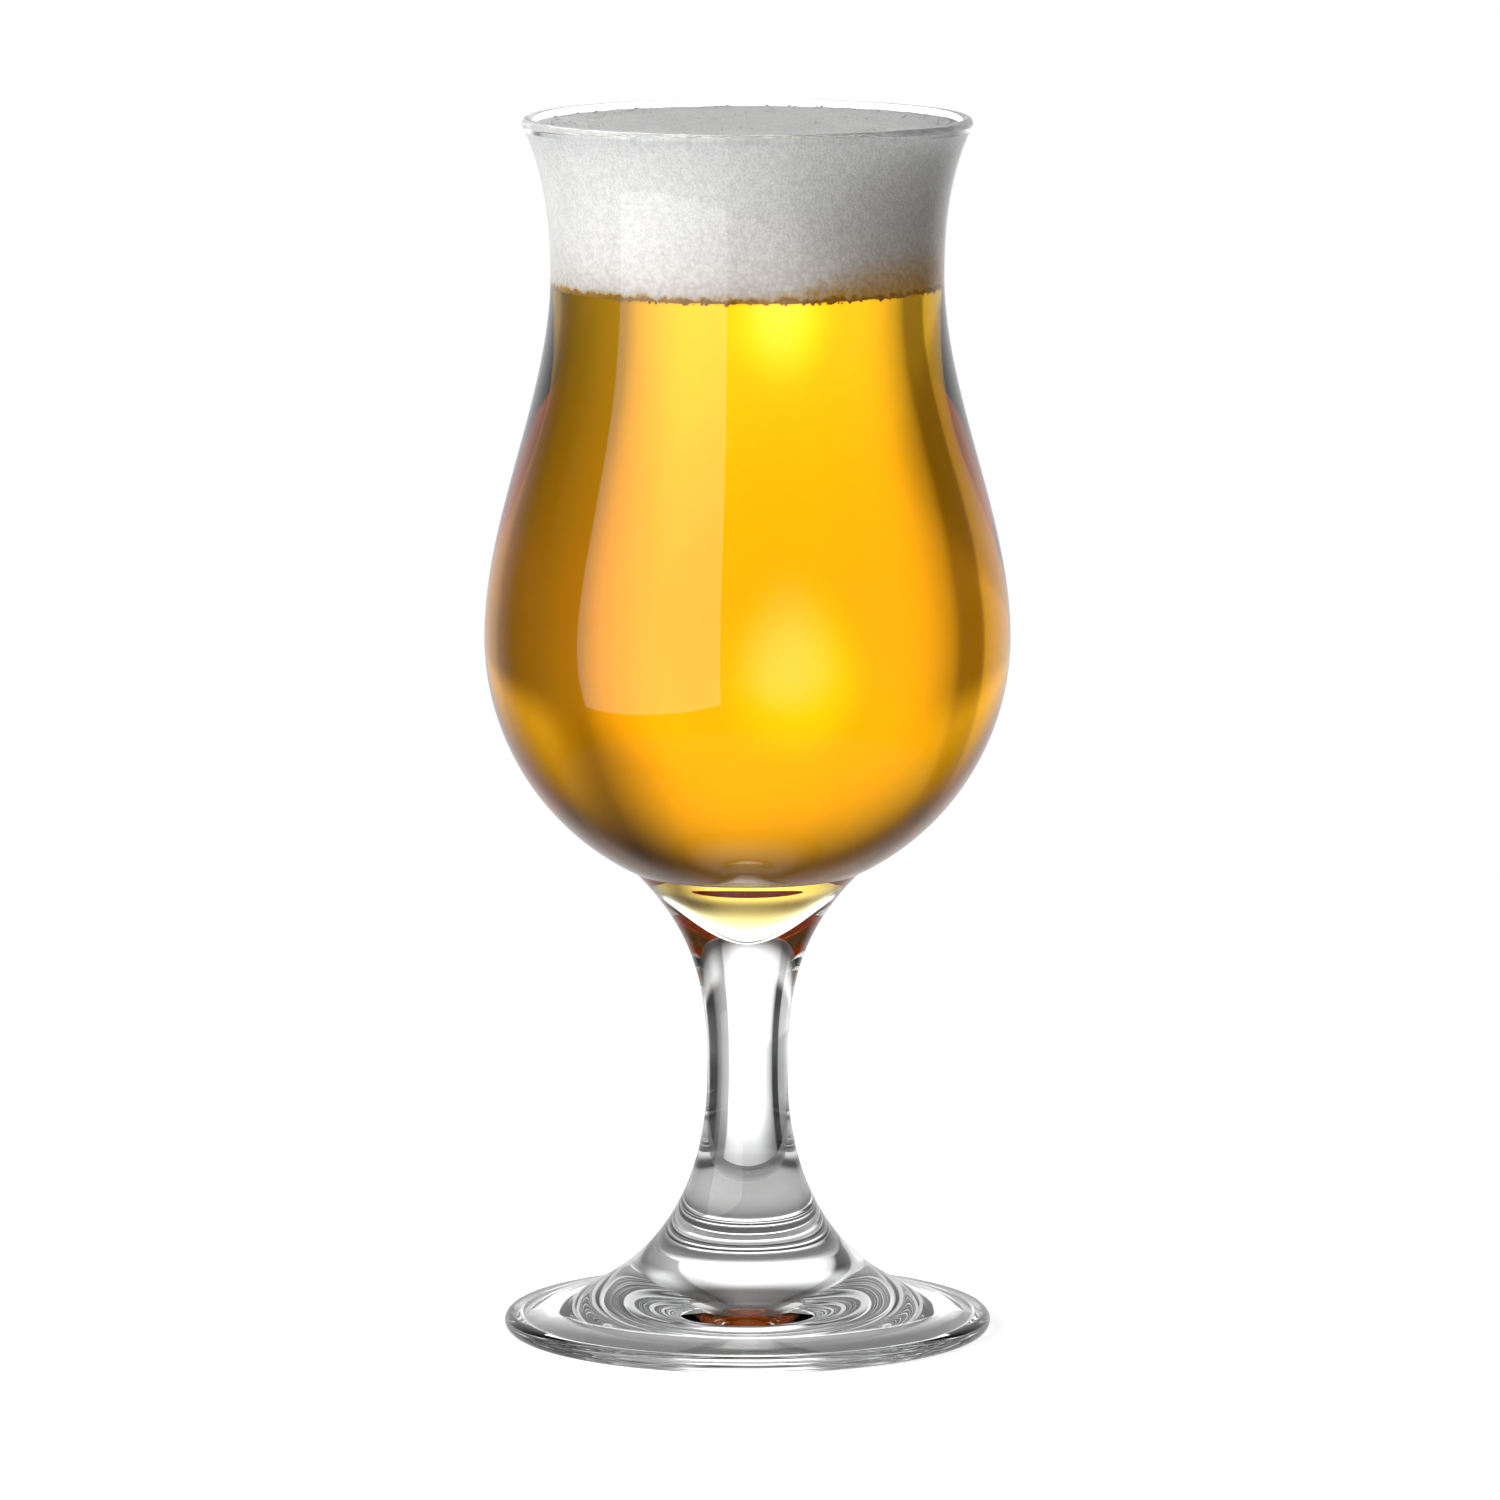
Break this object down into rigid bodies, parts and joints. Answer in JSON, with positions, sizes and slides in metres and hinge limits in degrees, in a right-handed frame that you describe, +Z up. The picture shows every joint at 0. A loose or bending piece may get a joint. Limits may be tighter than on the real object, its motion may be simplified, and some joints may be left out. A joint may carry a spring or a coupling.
{
  "type": "tulip beer glass",
  "caption": "Stemmed tulip beer glass with a flared lip, drawn-in waist, round belly, waisted stem and domed foot, filled with pale beer under a thick head of foam.",
  "frame": {"origin": "on the glass's axis, at the surface that the foot stands on", "axes": "+Z up along the glass's axis of revolution; the glass is round, so +X and +Y are any two square directions"},
  "size_m": [0.0816, 0.0816, 0.19],
  "materials": {
    "glass": "polished",
    "beer": "gloss",
    "foam": "matte"
  },
  "bodies": {
    "glass": {"bowl": "glass", "stem": "glass", "foot": "glass"},
    "drink": {"beer": "beer", "foam_head": "foam"}
  },
  "joints": [
    {"name": "drink_swirl", "type": "hinge", "parent": "glass", "child": "drink", "pos_m": [0, 0, 0.1], "axis": [0, 0, 1], "continuous": true}
  ]
}
